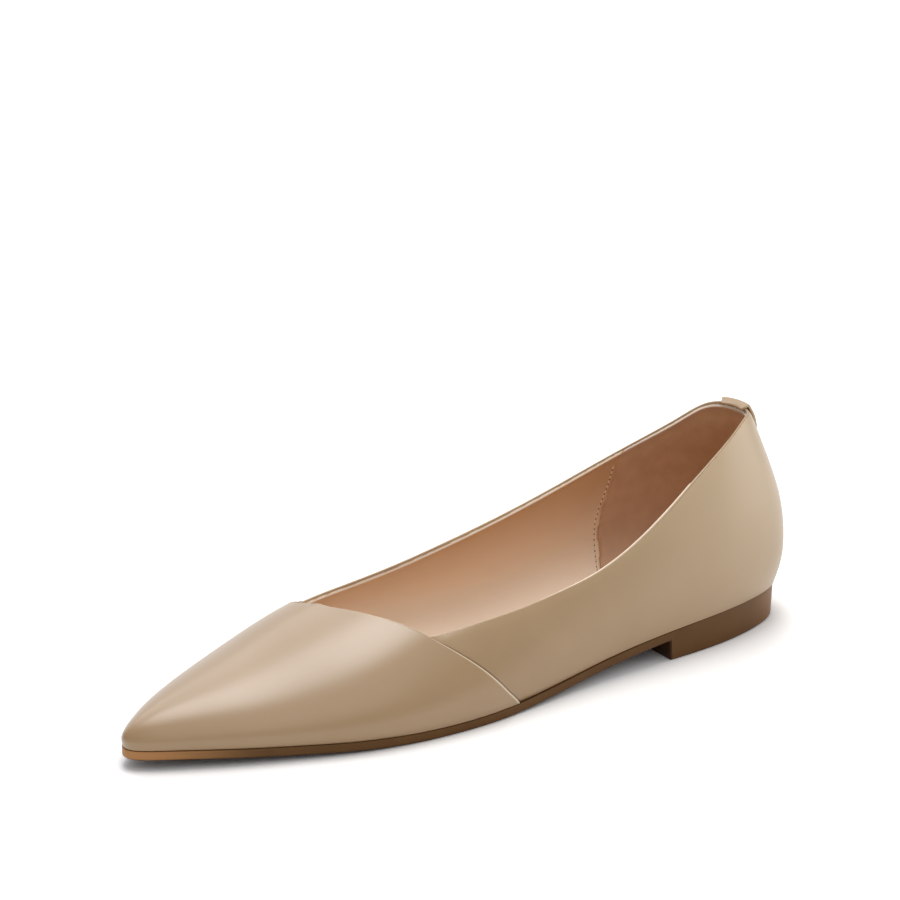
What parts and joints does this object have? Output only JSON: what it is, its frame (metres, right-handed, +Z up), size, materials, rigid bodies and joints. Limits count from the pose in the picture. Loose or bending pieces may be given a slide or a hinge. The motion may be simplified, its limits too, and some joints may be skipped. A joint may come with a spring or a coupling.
{
  "type": "pointed-toe flat shoe",
  "caption": "Left slip-on flat with a pointed toe, smooth leather upper with a lapped vamp panel, low moulded rubber sole and heel, and a folded tab at the back.",
  "frame": {"origin": "on the floor under the middle of the box round the shoe", "axes": "+X towards the toe, +Y to the wearer's left (the outer side of this left shoe), +Z up"},
  "size_m": [0.2574, 0.0774, 0.0742],
  "materials": {
    "rubber": "moulded, slightly glossy",
    "leather": "smooth, satin",
    "panel_leather": "smooth, satin",
    "lining": "matte lining",
    "tab_leather": "smooth, satin"
  },
  "bodies": {
    "root": {"outsole": "rubber", "upper": "leather", "vamp_panel": "panel_leather", "insole": "lining", "back_tab": "tab_leather"}
  },
  "joints": []
}
